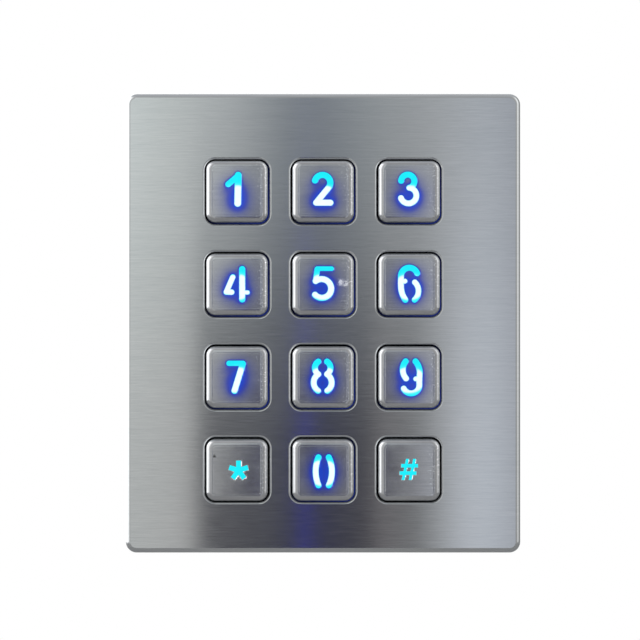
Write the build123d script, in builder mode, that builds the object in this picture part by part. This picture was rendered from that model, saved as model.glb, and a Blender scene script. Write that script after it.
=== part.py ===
"""Backlit twelve-key access keypad on a brushed stainless wall panel.

The wall plane is y = 0, the keys face -Y, +X is to the right and +Z is up.
The origin is the centre of the panel on the wall plane. All sizes are in millimetres.
"""

import os

from build123d import *

# ---- front panel and the gasket behind it; the margins are what shows past the back cover
PANEL_SIDE = 7.8
PANEL_END = 6.5
PANEL_THICKNESS = 2.5
PANEL_CORNER = 2.4
PANEL_EDGE = 1.1
GASKET_THICKNESS = 1.0
GASKET_INSET = 0.6
GASKET_GAP = 0.3

# ---- key field
KEY_SIZE = 13.4
KEY_CORNER = 2.0
KEY_EDGE = 1.6
KEY_GAP = 0.3
KEY_PROUD = 1.6
KEY_TRAVEL = 1.2
KEY_PITCH_X = 18.7
KEY_PITCH_Z = 20.15
KEY_FIELD_DROP = 1.65
HOLE_EDGE = 0.5

# ---- inside of a key
KEY_SIDE_WALL = 1.4
KEY_TOP_WALL = 1.2
FLANGE_LIP = 1.1
FLANGE_THICKNESS = 1.1
FLANGE_CORNER = 1.5
FLANGE_GAP = 0.1
FLANGE_CLEARANCE = 0.2
GUIDE_CLEARANCE = 0.05
LEGEND_CLEARANCE = 0.03
PLUNGER_RADIUS = 3.8
BRIDGE_LENGTH = 5.3
BRIDGE_WIDTH = 0.5
BRIDGE_HEIGHT = 0.6

# ---- guide frame, keymat and circuit board
FRAME_SIDE = 6.3
FRAME_END = 1.6
FRAME_THICKNESS = 4.0
KEYMAT_THICKNESS = 1.2
BOARD_THICKNESS = 1.6
BOARD_OVERHANG = 1.475

# ---- dome, contact and lamp under each key
PLUNGER_GAP = 0.05
DOME_HEIGHT = 1.35
DOME_TOP_RADIUS = 4.2
DOME_FOOT_RADIUS = 5.6
DOME_WEB = 0.45
WINDOW_RADIUS = 2.2
WINDOW_MEMBRANE = 0.4
VENT_WIDTH = 1.0
VENT_DEPTH = 0.35
RING_INNER_RADIUS = 2.5
RING_OUTER_RADIUS = 3.7
RING_THICKNESS = 0.5
RING_AIR_GAP = 0.015
PAD_THICKNESS = 0.05
PAD_MARGIN = 0.2
PAD_SPLIT = 0.6
LED_LENGTH = 1.6
LED_WIDTH = 0.8
LED_HEIGHT = 0.75
LED_BASE = 0.3
LED_LENS_LENGTH = 1.1
RESISTOR_LENGTH = 1.6
RESISTOR_WIDTH = 0.8
RESISTOR_HEIGHT = 0.45
RESISTOR_OFFSET = 6.0

# ---- posts and screws
POST_RADIUS = 2.0
POST_INSET = 3.0
POST_CLEARANCE = 0.2
POST_FLOOR = 1.0
THREAD_RADIUS = 1.25
THREAD_CLEARANCE = 0.02
SHANK_CLEARANCE = 0.15
HEAD_RADIUS = 2.25
HEAD_HEIGHT = 1.7
HEAD_EDGE = 0.4
HEAD_CLEARANCE = 0.3
HEX_RADIUS = 1.0
HEX_DEPTH = 1.0
BOARD_SCREW_LENGTH = 5.0
COVER_SCREW_LENGTH = 12.0

# ---- back cover and its seal
COVER_WALL = 2.0
COVER_FLOOR = 2.0
COVER_BACK = 16.0
COVER_CORNER = 4.0
COVER_EDGE = 1.0
COVER_GAP = 0.2
SEAL_THICKNESS = 0.5
BOSS_RADIUS = 3.5
HEAD_RECESS = 2.2
LABEL_WIDTH = 40.0
LABEL_HEIGHT = 26.0
LABEL_CORNER = 1.5
LABEL_DEPTH = 0.3
LABEL_Z = 14.0

# ---- parts on the back of the board, each placed from the middle of the key field
CHIP_SIZE = 10.0
CHIP_LIFT = 0.1
CHIP_HEIGHT = 1.4
LEG_WIDTH = 0.35
LEG_THICKNESS = 0.15
LEG_PITCH = 0.8
LEG_COUNT = 11
LEG_SHOULDER = 0.35
LEG_FOOT = 0.6
CHIP_PLACE = (0.0, 20.0)
CRYSTAL_LENGTH = 11.0
CRYSTAL_WIDTH = 4.6
CRYSTAL_HEIGHT = 3.5
CRYSTAL_EDGE = 0.6
CRYSTAL_FLANGE = 0.3
CRYSTAL_BASE = 0.5
CRYSTAL_PLACE = (0.0, 6.5)
REGULATOR_WIDTH = 6.5
REGULATOR_LENGTH = 6.1
REGULATOR_HEIGHT = 2.3
TAB_WIDTH = 5.2
TAB_LENGTH = 1.4
TAB_THICKNESS = 0.5
LEAD_WIDTH = 0.8
LEAD_LENGTH = 2.4
LEAD_SPACING = 4.6
REGULATOR_PLACE = (19.0, -20.0)
CAPACITOR_RADIUS = 2.5
CAPACITOR_HEIGHT = 5.4
CAPACITOR_BASE = 5.3
CAPACITOR_BASE_HEIGHT = 0.8
CAPACITOR_EDGE = 0.5
CAPACITOR_PLACES = ((-20.0, -20.0), (0.0, -20.0))
BUZZER_RADIUS = 6.0
BUZZER_HEIGHT = 6.5
BUZZER_EDGE = 0.6
BUZZER_PORT_RADIUS = 1.0
BUZZER_PORT_DEPTH = 1.5
BUZZER_PLACE = (-20.0, 20.0)

# ---- cable connector
PIN_COUNT = 8
PIN_PITCH = 2.5
PIN_SIZE = 0.64
PIN_CLEARANCE = 0.02
PIN_RECESS = 0.8
FOOT_THICKNESS = 0.3
FOOT_LENGTH = 4.0
HEADER_END = 2.45
HEADER_DEPTH = 5.75
HEADER_HEIGHT = 7.0
HEADER_WALL = 0.7
HEADER_FLOOR = 1.6
KEYWAY_WIDTH = 1.4
KEYWAY_SPACING = 12.5
HEADER_INSET = 6.3
PLUG_ROOM = 1.8

# ---- wall studs
STUD_SIDE_INSET = 4.0
STUD_END_INSET = 12.0
STUD_RADIUS = 2.0
STUD_LENGTH = 20.0
STUD_TIP = 0.5
WELD_RADIUS = 2.4
WELD_CLEARANCE = 0.3

# ---- levels along Y, from the front of the keys to the back cover
PANEL_BACK = -GASKET_THICKNESS
PANEL_FRONT = PANEL_BACK - PANEL_THICKNESS
KEY_FRONT = PANEL_FRONT - KEY_PROUD
KEY_POCKET_FLOOR = KEY_FRONT + KEY_TOP_WALL
FLANGE_FRONT = PANEL_BACK + FLANGE_GAP
FLANGE_BACK = FLANGE_FRONT + FLANGE_THICKNESS
FRAME_BACK = PANEL_BACK + FRAME_THICKNESS
BOARD_FRONT = FRAME_BACK + KEYMAT_THICKNESS
BOARD_BACK = BOARD_FRONT + BOARD_THICKNESS
DOME_FRONT = FRAME_BACK - DOME_HEIGHT
PLUNGER_BACK = DOME_FRONT - PLUNGER_GAP
PAD_FRONT = BOARD_FRONT - PAD_THICKNESS
RING_BACK = PAD_FRONT - RING_AIR_GAP - KEY_TRAVEL
RING_FRONT = RING_BACK - RING_THICKNESS
SEAL_BACK = PANEL_BACK + SEAL_THICKNESS
COVER_INNER_FLOOR = COVER_BACK - COVER_FLOOR
COVER_HEAD_SEAT = COVER_BACK - HEAD_RECESS

# ---- outlines that follow from the sizes above
FIELD_Z = -KEY_FIELD_DROP
HOLE_SIZE = KEY_SIZE + 2 * KEY_GAP
HOLE_CORNER = KEY_CORNER + KEY_GAP
FLANGE_SIZE = KEY_SIZE + 2 * FLANGE_LIP
FRAME_POCKET = FLANGE_SIZE + 2 * FLANGE_CLEARANCE
FRAME_POCKET_CORNER = FLANGE_CORNER + FLANGE_CLEARANCE
KEY_POCKET = KEY_SIZE - 2 * KEY_SIDE_WALL
KEY_POCKET_CORNER = KEY_CORNER / 2
GUIDE_SIZE = KEY_POCKET - 2 * GUIDE_CLEARANCE
FRAME_WIDTH = 2 * KEY_PITCH_X + FRAME_POCKET + 2 * FRAME_SIDE
FRAME_HEIGHT = 3 * KEY_PITCH_Z + FRAME_POCKET + 2 * FRAME_END
BOARD_HEIGHT = FRAME_HEIGHT + 2 * BOARD_OVERHANG
COVER_INNER_WIDTH = FRAME_WIDTH + 2 * COVER_GAP
COVER_INNER_HEIGHT = BOARD_HEIGHT + 2 * COVER_GAP
COVER_INNER_CORNER = COVER_CORNER - COVER_WALL
COVER_WIDTH = COVER_INNER_WIDTH + 2 * COVER_WALL
COVER_HEIGHT = COVER_INNER_HEIGHT + 2 * COVER_WALL
PANEL_WIDTH = COVER_WIDTH + 2 * PANEL_SIDE
PANEL_HEIGHT = COVER_HEIGHT + 2 * PANEL_END
SCREW_HOLE_RADIUS = THREAD_RADIUS + SHANK_CLEARANCE
POST_HOLE_RADIUS = POST_RADIUS + POST_CLEARANCE
HEADER_LENGTH = 2 * HEADER_END + (PIN_COUNT - 1) * PIN_PITCH
HEADER_Z = FIELD_Z - BOARD_HEIGHT / 2 + HEADER_INSET

# ---- places
KEY_NAMES = ["1", "2", "3", "4", "5", "6", "7", "8", "9", "star", "0", "hash"]
KEY_PLACES = {
    name: (
        (index % 3 - 1) * KEY_PITCH_X,
        FIELD_Z + (1.5 - index // 3) * KEY_PITCH_Z,
    )
    for index, name in enumerate(KEY_NAMES)
}
CORNER_POSTS = [
    (side * (FRAME_WIDTH / 2 - POST_INSET), FIELD_Z + end * (FRAME_HEIGHT / 2 - POST_INSET))
    for side in (-1, 1)
    for end in (-1, 1)
]
GRID_POSTS = [(side * KEY_PITCH_X / 2, FIELD_Z) for side in (-1, 1)]
STUD_PLACES = [
    (side * (PANEL_WIDTH / 2 - STUD_SIDE_INSET), end * (PANEL_HEIGHT / 2 - STUD_END_INSET))
    for side in (-1, 1)
    for end in (-1, 1)
]


def front_plane(y, x=0.0, z=0.0):
    """A plane at depth y, drawn on as seen from the room; extrusions grow towards the room."""
    return Plane(origin=(x, y, z), x_dir=(1, 0, 0), z_dir=(0, -1, 0))


def rear_plane(y, x=0.0, z=0.0):
    """A plane at depth y, drawn on as seen from behind; extrusions grow away from the room."""
    return Plane(origin=(x, y, z), x_dir=(-1, 0, 0), z_dir=(0, 1, 0))


def from_field(place):
    """Where a place measured from the middle of the key field is on the panel."""
    return place[0], FIELD_Z + place[1]


def finish(piece, name):
    """Label a finished piece and write it."""
    piece.part.label = name
    export_step(piece.part, f"parts/{name}.step")


# ---- legends: pen strokes with round ends as (path, width), from the middle of the key


def smooth_path(*points):
    """Arcs that run smoothly into each other: the first through three points, then one to each."""
    arcs = [ThreePointArc(*points[:3])]
    for point in points[3:]:
        arcs.append(TangentArc(arcs[-1] @ 1, point, tangent=arcs[-1] % 1))
    return Wire(arcs)


def legend_1():
    stem = Line((0.3, 3.5), (0.2, -2.6))
    flag = Line((0.3, 3.4), (-1.85, 1.55))
    return [(stem, 1.5), (flag, 1.3)]


def legend_2():
    hook = CenterArc((-0.12, 1.88), 1.69, 163, -203)
    leg = Line(hook @ 1, (-1.49, -2.45))
    base = Line(leg @ 1, (1.6, -2.45))
    return [(Wire([hook, leg, base]), 1.35)]


def legend_3():
    upper = smooth_path((-1.76, 2.3), (-0.3, 3.64), (1.09, 2.4), (0.0, 0.79))
    lower = smooth_path((0.0, 0.79), (1.53, -0.9), (-0.07, -2.6), (-1.8, -1.44))
    return [(upper, 1.3), (lower, 1.3)]


def legend_4():
    stem = Line((1.17, 3.3), (1.17, -3.25))
    nub = Line((1.17, -1.76), (2.36, -1.76))
    arm = Polyline((-0.87, 1.59), (-2.28, -1.69), (-1.1, -1.69))
    return [(stem, 1.35), (nub, 0.95), (arm, 1.2)]


def legend_5():
    roof = Line((-1.1, 3.4), (1.86, 3.4))
    neck = Line((-1.24, 3.3), (-1.6, 0.72))
    bowl = smooth_path((-1.6, 0.72), (0.12, 1.1), (1.76, -0.9), (0.12, -2.9), (-1.74, -2.26))
    return [(roof, 1.0), (neck, 1.2), (bowl, 1.35)]


def legend_6():
    back = smooth_path((1.7, 2.4), (-0.1, 3.6), (-1.79, 1.9), (-1.8, -0.6), (-0.85, -3.35))
    nub = Line((-1.5, 0.65), (-0.95, 0.7))
    belly = ThreePointArc((1.2, 0.45), (2.0, -1.4), (1.15, -3.35))
    return [(back, 1.3), (nub, 1.1), (belly, 1.25)]


def legend_7():
    roof = Line((-1.69, 3.02), (1.36, 3.02))
    leg = Line((1.29, 2.9), (-0.5, -2.93))
    return [(roof, 1.15), (leg, 1.35)]


def legend_8():
    strokes = []
    for side in (-1, 1):
        upper = [(0.95, 3.4), (1.68, 2.03), (0.95, 0.67)]
        lower = [(0.95, 0.67), (1.94, -1.3), (1.0, -2.93)]
        for points in (upper, lower):
            path = ThreePointArc(*[(side * x - 0.08, z) for x, z in points])
            strokes.append((path, 1.3))
    return strokes


def legend_9():
    back = smooth_path((-1.2, -2.45), (0.4, -3.48), (2.18, -1.65), (2.25, 0.6), (1.35, 3.45))
    nub = Line((2.0, -0.4), (1.4, -0.35))
    belly = ThreePointArc((-0.78, 3.45), (-1.42, 1.54), (-0.7, -0.25))
    return [(back, 1.3), (nub, 1.1), (belly, 1.3)]


def legend_0():
    left = ThreePointArc((-0.99, 2.8), (-1.6, -0.17), (-0.99, -3.27))
    right = ThreePointArc((1.24, 2.8), (1.93, -0.17), (1.24, -3.27))
    return [(left, 1.3), (right, 1.3)]


ROUND_LEGENDS = {
    "1": legend_1(),
    "2": legend_2(),
    "3": legend_3(),
    "4": legend_4(),
    "5": legend_5(),
    "6": legend_6(),
    "7": legend_7(),
    "8": legend_8(),
    "9": legend_9(),
    "0": legend_0(),
}

STAR_MIDDLE = (0.4, -0.05)
STAR_ARM = 2.15
STAR_WIDTH = 1.1
HASH_MIDDLE = (-0.1, 0.18)
HASH_HEIGHT = 4.6
HASH_LENGTH = 3.65
HASH_STEM = 0.65
HASH_BAR = 0.8
HASH_SPACING_X = 1.54
HASH_SPACING_Z = 1.6
HASH_LEAN = 0.21


def draw_star(inset):
    """Five flat-ended arms, one of them upright."""
    with Locations(STAR_MIDDLE):
        with PolarLocations(STAR_ARM / 2 - inset, 5, start_angle=90):
            Rectangle(STAR_ARM, STAR_WIDTH - 2 * inset)


def draw_hash(inset):
    """Two leaning stems crossed by two level bars."""
    rise = HASH_HEIGHT / 2 - inset
    lean = HASH_LEAN * rise
    half = HASH_STEM / 2 - inset
    with Locations(HASH_MIDDLE):
        for side in (-1, 1):
            x = side * HASH_SPACING_X / 2
            z = side * HASH_SPACING_Z / 2
            Polygon(
                (x - half - lean, -rise),
                (x + half - lean, -rise),
                (x + half + lean, rise),
                (x - half + lean, rise),
                align=None,
            )
            with Locations((HASH_LEAN * z, z)):
                Rectangle(HASH_LENGTH - 2 * inset, HASH_BAR - 2 * inset)


def draw_legend(name, inset=0.0):
    """Draw one key's legend in the sketch in hand, inset all round by the clearance given."""
    if name == "star":
        draw_star(inset)
    elif name == "hash":
        draw_hash(inset)
    else:
        for path, width in ROUND_LEGENDS[name]:
            SlotArc(path, width - 2 * inset)


# ---- keys


def make_key_cap(name, x, z):
    """A satin metal key: rounded face with the legend cut through, and a flange behind the panel."""
    with BuildPart() as cap:
        with BuildSketch(front_plane(FLANGE_BACK, x, z)):
            RectangleRounded(KEY_SIZE, KEY_SIZE, KEY_CORNER)
        extrude(amount=FLANGE_BACK - KEY_FRONT)
        fillet(cap.faces().sort_by(Axis.Y)[0].edges(), KEY_EDGE)
        with BuildSketch(front_plane(FLANGE_BACK, x, z)):
            RectangleRounded(FLANGE_SIZE, FLANGE_SIZE, FLANGE_CORNER)
        extrude(amount=FLANGE_THICKNESS)
        with BuildSketch(front_plane(FLANGE_BACK, x, z)):
            RectangleRounded(KEY_POCKET, KEY_POCKET, KEY_POCKET_CORNER)
        extrude(amount=FLANGE_BACK - KEY_POCKET_FLOOR, mode=Mode.SUBTRACT)
        with BuildSketch(front_plane(KEY_POCKET_FLOOR, x, z)):
            draw_legend(name)
        extrude(amount=KEY_TOP_WALL, mode=Mode.SUBTRACT)
        if name == "hash":
            with BuildSketch(front_plane(KEY_POCKET_FLOOR, x, z)):
                with Locations(HASH_MIDDLE):
                    Rectangle(BRIDGE_LENGTH, BRIDGE_WIDTH)
            extrude(amount=BRIDGE_HEIGHT)
    finish(cap, f"key_cap_{name}")


def make_light_guide(name, x, z):
    """The translucent block inside a key, with the raised legend in front and a plunger behind."""
    with BuildPart() as guide:
        with BuildSketch(front_plane(FLANGE_BACK, x, z)):
            RectangleRounded(GUIDE_SIZE, GUIDE_SIZE, KEY_POCKET_CORNER)
        extrude(amount=FLANGE_BACK - KEY_POCKET_FLOOR)
        with BuildSketch(front_plane(PLUNGER_BACK, x, z)):
            Circle(PLUNGER_RADIUS)
        extrude(amount=PLUNGER_BACK - FLANGE_BACK)
        with BuildSketch(front_plane(KEY_POCKET_FLOOR, x, z)):
            draw_legend(name, LEGEND_CLEARANCE)
        extrude(amount=KEY_TOP_WALL)
        if name == "hash":
            with BuildSketch(front_plane(KEY_POCKET_FLOOR, x, z)):
                with Locations(HASH_MIDDLE):
                    Rectangle(KEY_POCKET, BRIDGE_WIDTH + 2 * LEGEND_CLEARANCE)
            extrude(amount=BRIDGE_HEIGHT + LEGEND_CLEARANCE, mode=Mode.SUBTRACT)
    finish(guide, f"light_guide_{name}")


def make_contact_ring(name, x, z):
    """The carbon ring under a dome, which bridges the pads when its key is pressed."""
    with BuildPart() as ring:
        with BuildSketch(rear_plane(RING_FRONT, x, z)):
            Circle(RING_OUTER_RADIUS)
            Circle(RING_INNER_RADIUS, mode=Mode.SUBTRACT)
        extrude(amount=RING_THICKNESS)
    finish(ring, f"contact_ring_{name}")


# ---- panel group


def make_front_panel():
    """The brushed plate, with a rounded front edge and a rolled edge round each key hole."""
    with BuildPart() as panel:
        with BuildSketch(front_plane(PANEL_BACK)):
            RectangleRounded(PANEL_WIDTH, PANEL_HEIGHT, PANEL_CORNER)
        extrude(amount=PANEL_THICKNESS)
        fillet(panel.faces().sort_by(Axis.Y)[0].edges(), PANEL_EDGE)
        with BuildSketch(front_plane(PANEL_BACK)):
            with Locations(*KEY_PLACES.values()):
                RectangleRounded(HOLE_SIZE, HOLE_SIZE, HOLE_CORNER)
        extrude(amount=PANEL_THICKNESS, mode=Mode.SUBTRACT)
        face = panel.faces().sort_by(Axis.Y)[0]
        rims = [edge for wire in face.inner_wires() for edge in wire.edges()]
        fillet(rims, HOLE_EDGE)
    finish(panel, "front_panel")


def make_panel_gasket():
    """The flat seal between the panel and the wall, open in the middle for the back cover."""
    with BuildPart() as gasket:
        with BuildSketch(front_plane(0.0)):
            RectangleRounded(
                PANEL_WIDTH - 2 * GASKET_INSET,
                PANEL_HEIGHT - 2 * GASKET_INSET,
                PANEL_CORNER - GASKET_INSET,
            )
            with Locations((0.0, FIELD_Z)):
                RectangleRounded(
                    COVER_WIDTH + 2 * GASKET_GAP,
                    COVER_HEIGHT + 2 * GASKET_GAP,
                    COVER_CORNER + GASKET_GAP,
                    mode=Mode.SUBTRACT,
                )
            with Locations(*STUD_PLACES):
                Circle(WELD_RADIUS + WELD_CLEARANCE, mode=Mode.SUBTRACT)
        extrude(amount=GASKET_THICKNESS)
    finish(gasket, "panel_gasket")


def make_mounting_studs():
    """Four studs on the back of the panel, each in a weld collar that ends at the wall."""
    with BuildPart() as studs:
        with BuildSketch(rear_plane(PANEL_BACK)):
            with Locations(*STUD_PLACES):
                Circle(STUD_RADIUS)
        extrude(amount=STUD_LENGTH)
        chamfer(studs.faces().group_by(Axis.Y)[-1].edges(), STUD_TIP)
        with BuildSketch(rear_plane(PANEL_BACK)):
            with Locations(*STUD_PLACES):
                Circle(WELD_RADIUS)
        extrude(amount=GASKET_THICKNESS)
    finish(studs, "mounting_studs")


def make_panel_standoffs():
    """Six threaded posts welded to the back of the panel, which carry the board and the cover."""
    with BuildPart() as posts:
        with BuildSketch(front_plane(BOARD_FRONT)):
            with Locations(*CORNER_POSTS, *GRID_POSTS):
                Circle(POST_RADIUS)
        extrude(amount=BOARD_FRONT - PANEL_BACK)
        with BuildSketch(front_plane(BOARD_FRONT)):
            with Locations(*CORNER_POSTS, *GRID_POSTS):
                Circle(THREAD_RADIUS + THREAD_CLEARANCE)
        extrude(amount=BOARD_FRONT - PANEL_BACK - POST_FLOOR, mode=Mode.SUBTRACT)
    finish(posts, "panel_standoffs")


# ---- guide frame and keymat


def frame_outline():
    """The outline shared by the guide frame and the keymat, with the holes for the posts."""
    with Locations((0.0, FIELD_Z)):
        RectangleRounded(FRAME_WIDTH, FRAME_HEIGHT, COVER_INNER_CORNER)
    with Locations(*CORNER_POSTS, *GRID_POSTS):
        Circle(POST_HOLE_RADIUS, mode=Mode.SUBTRACT)


def make_guide_frame():
    """The moulded grid behind the panel; each pocket guides one key's flange."""
    with BuildPart() as frame:
        with BuildSketch(front_plane(FRAME_BACK)):
            frame_outline()
            with Locations(*KEY_PLACES.values()):
                RectangleRounded(
                    FRAME_POCKET, FRAME_POCKET, FRAME_POCKET_CORNER, mode=Mode.SUBTRACT
                )
        extrude(amount=FRAME_THICKNESS)
    finish(frame, "guide_frame")


def revolve_at_key(x, z, points, mode=Mode.ADD):
    """Turn an outline of (radius, y) points about a key's axis."""
    with BuildSketch(Plane(origin=(x, 0, z), x_dir=(1, 0, 0), z_dir=(0, 0, 1))) as outline:
        with BuildLine():
            Polyline(*points, close=True)
        make_face()
    revolve(outline.sketch, axis=Axis((x, 0, z), (0, 1, 0)), mode=mode)


def make_keymat():
    """The silicone sheet, with a collapsible dome, a window and an air vent at each key."""
    dome = [
        (0.0, DOME_FRONT),
        (DOME_TOP_RADIUS, DOME_FRONT),
        (DOME_FOOT_RADIUS, FRAME_BACK),
        (0.0, FRAME_BACK),
    ]
    chamber = [
        (0.0, DOME_FRONT + WINDOW_MEMBRANE),
        (WINDOW_RADIUS, DOME_FRONT + WINDOW_MEMBRANE),
        (WINDOW_RADIUS, RING_FRONT),
        (DOME_TOP_RADIUS, RING_FRONT),
        (DOME_FOOT_RADIUS - DOME_WEB, FRAME_BACK),
        (DOME_FOOT_RADIUS - DOME_WEB, BOARD_FRONT),
        (0.0, BOARD_FRONT),
    ]
    with BuildPart() as keymat:
        with BuildSketch(front_plane(BOARD_FRONT)):
            frame_outline()
        extrude(amount=KEYMAT_THICKNESS)
        for x, z in KEY_PLACES.values():
            revolve_at_key(x, z, dome)
        with BuildSketch(front_plane(BOARD_FRONT)):
            with Locations((0.0, FIELD_Z)):
                with GridLocations(KEY_PITCH_X, KEY_PITCH_Z, 3, 1):
                    Rectangle(VENT_WIDTH, 3 * KEY_PITCH_Z)
        extrude(amount=VENT_DEPTH, mode=Mode.SUBTRACT)
        for x, z in KEY_PLACES.values():
            revolve_at_key(x, z, chamber, Mode.SUBTRACT)
    finish(keymat, "keymat")


# ---- circuit board and what is on its front


def make_circuit_board():
    """The board behind the keymat, drilled for the screws into the posts."""
    with BuildPart() as board:
        with BuildSketch(rear_plane(BOARD_FRONT, z=FIELD_Z)):
            RectangleRounded(FRAME_WIDTH, BOARD_HEIGHT, COVER_INNER_CORNER)
        extrude(amount=BOARD_THICKNESS)
        with BuildSketch(front_plane(BOARD_BACK)):
            with Locations(*CORNER_POSTS, *GRID_POSTS):
                Circle(SCREW_HOLE_RADIUS)
        extrude(amount=BOARD_THICKNESS, mode=Mode.SUBTRACT)
    finish(board, "circuit_board")


def make_contact_pads():
    """A split ring of plated copper under each dome; its two halves are the key's contacts."""
    with BuildPart() as pads:
        with BuildSketch(front_plane(BOARD_FRONT)):
            with Locations(*KEY_PLACES.values()):
                Circle(RING_OUTER_RADIUS + PAD_MARGIN)
                Circle(RING_INNER_RADIUS - PAD_MARGIN, mode=Mode.SUBTRACT)
                Rectangle(PAD_SPLIT, 2 * DOME_FOOT_RADIUS, mode=Mode.SUBTRACT)
        extrude(amount=PAD_THICKNESS)
    finish(pads, "contact_pads")


def make_backlight_leds():
    """One lamp in the middle of each dome, a base with a lens on it."""
    with BuildPart() as leds:
        with BuildSketch(front_plane(BOARD_FRONT)):
            with Locations(*KEY_PLACES.values()):
                Rectangle(LED_LENGTH, LED_WIDTH)
        extrude(amount=LED_BASE)
        with BuildSketch(front_plane(BOARD_FRONT - LED_BASE)):
            with Locations(*KEY_PLACES.values()):
                Rectangle(LED_LENS_LENGTH, LED_WIDTH)
        extrude(amount=LED_HEIGHT - LED_BASE)
    finish(leds, "backlight_leds")


# ---- parts on the back of the board


def make_led_resistors():
    """One resistor for each lamp, beside it on the back of the board."""
    places = [(x + RESISTOR_OFFSET, z) for x, z in KEY_PLACES.values()]
    with BuildPart() as resistors:
        for x, z in places:
            with BuildSketch(rear_plane(BOARD_BACK, x, z)):
                Rectangle(RESISTOR_LENGTH, RESISTOR_WIDTH)
            extrude(amount=RESISTOR_HEIGHT)
    finish(resistors, "led_resistors")


def make_controller_chip():
    """The keypad controller: a flat square package with gull-wing legs on its four sides."""
    x, z = from_field(CHIP_PLACE)
    middle = CHIP_LIFT + CHIP_HEIGHT / 2
    reach = CHIP_SIZE / 2 + LEG_SHOULDER
    with BuildPart() as leg:
        with BuildSketch(Plane.XZ):
            with BuildLine():
                Polyline(
                    (CHIP_SIZE / 2, middle),
                    (reach, middle),
                    (reach, LEG_THICKNESS),
                    (reach + LEG_FOOT, LEG_THICKNESS),
                    (reach + LEG_FOOT, 0.0),
                    (reach - LEG_THICKNESS, 0.0),
                    (reach - LEG_THICKNESS, middle - LEG_THICKNESS),
                    (CHIP_SIZE / 2, middle - LEG_THICKNESS),
                    close=True,
                )
            make_face()
        extrude(amount=LEG_WIDTH / 2, both=True)
    with BuildPart(rear_plane(BOARD_BACK, x, z)) as chip:
        with Locations((0.0, 0.0, middle)):
            Box(CHIP_SIZE, CHIP_SIZE, CHIP_HEIGHT)
        with PolarLocations(0.0, 4):
            with GridLocations(LEG_PITCH, LEG_PITCH, 1, LEG_COUNT):
                add(leg.part)
    finish(chip, "controller_chip")


def make_crystal():
    """The clock crystal, a metal can on a thin base flange."""
    x, z = from_field(CRYSTAL_PLACE)
    with BuildPart() as crystal:
        with BuildSketch(rear_plane(BOARD_BACK, x, z)):
            SlotOverall(CRYSTAL_LENGTH, CRYSTAL_WIDTH)
        extrude(amount=CRYSTAL_HEIGHT)
        fillet(crystal.faces().sort_by(Axis.Y)[-1].edges(), CRYSTAL_EDGE)
        with BuildSketch(rear_plane(BOARD_BACK, x, z)):
            SlotOverall(CRYSTAL_LENGTH + 2 * CRYSTAL_FLANGE, CRYSTAL_WIDTH + 2 * CRYSTAL_FLANGE)
        extrude(amount=CRYSTAL_BASE)
    finish(crystal, "crystal")


def make_voltage_regulator():
    """The voltage regulator, with its cooling tab above and two leads below."""
    x, z = from_field(REGULATOR_PLACE)
    with BuildPart() as regulator:
        with BuildSketch(rear_plane(BOARD_BACK, x, z)):
            Rectangle(REGULATOR_WIDTH, REGULATOR_LENGTH)
        extrude(amount=REGULATOR_HEIGHT)
        with BuildSketch(rear_plane(BOARD_BACK, x, z)):
            with Locations((0.0, (REGULATOR_LENGTH + TAB_LENGTH) / 2)):
                Rectangle(TAB_WIDTH, TAB_LENGTH)
            with Locations((0.0, -(REGULATOR_LENGTH + LEAD_LENGTH) / 2)):
                with GridLocations(LEAD_SPACING, LEAD_LENGTH, 2, 1):
                    Rectangle(LEAD_WIDTH, LEAD_LENGTH)
        extrude(amount=TAB_THICKNESS)
    finish(regulator, "voltage_regulator")


def make_filter_capacitors():
    """Two can capacitors on square bases."""
    with BuildPart() as capacitors:
        for place in CAPACITOR_PLACES:
            x, z = from_field(place)
            with BuildSketch(rear_plane(BOARD_BACK, x, z)):
                Circle(CAPACITOR_RADIUS)
            extrude(amount=CAPACITOR_HEIGHT)
        fillet(capacitors.faces().group_by(Axis.Y)[-1].edges(), CAPACITOR_EDGE)
        for place in CAPACITOR_PLACES:
            x, z = from_field(place)
            with BuildSketch(rear_plane(BOARD_BACK, x, z)):
                Rectangle(CAPACITOR_BASE, CAPACITOR_BASE)
            extrude(amount=CAPACITOR_BASE_HEIGHT)
    finish(capacitors, "filter_capacitors")


def make_buzzer():
    """The beeper, a round can with its sound port in the middle."""
    x, z = from_field(BUZZER_PLACE)
    with BuildPart() as buzzer:
        with BuildSketch(rear_plane(BOARD_BACK, x, z)):
            Circle(BUZZER_RADIUS)
        extrude(amount=BUZZER_HEIGHT)
        fillet(buzzer.faces().sort_by(Axis.Y)[-1].edges(), BUZZER_EDGE)
        with BuildSketch(rear_plane(BOARD_BACK + BUZZER_HEIGHT - BUZZER_PORT_DEPTH, x, z)):
            Circle(BUZZER_PORT_RADIUS)
        extrude(amount=BUZZER_PORT_DEPTH, mode=Mode.SUBTRACT)
    finish(buzzer, "buzzer")


# ---- cable connector


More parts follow.
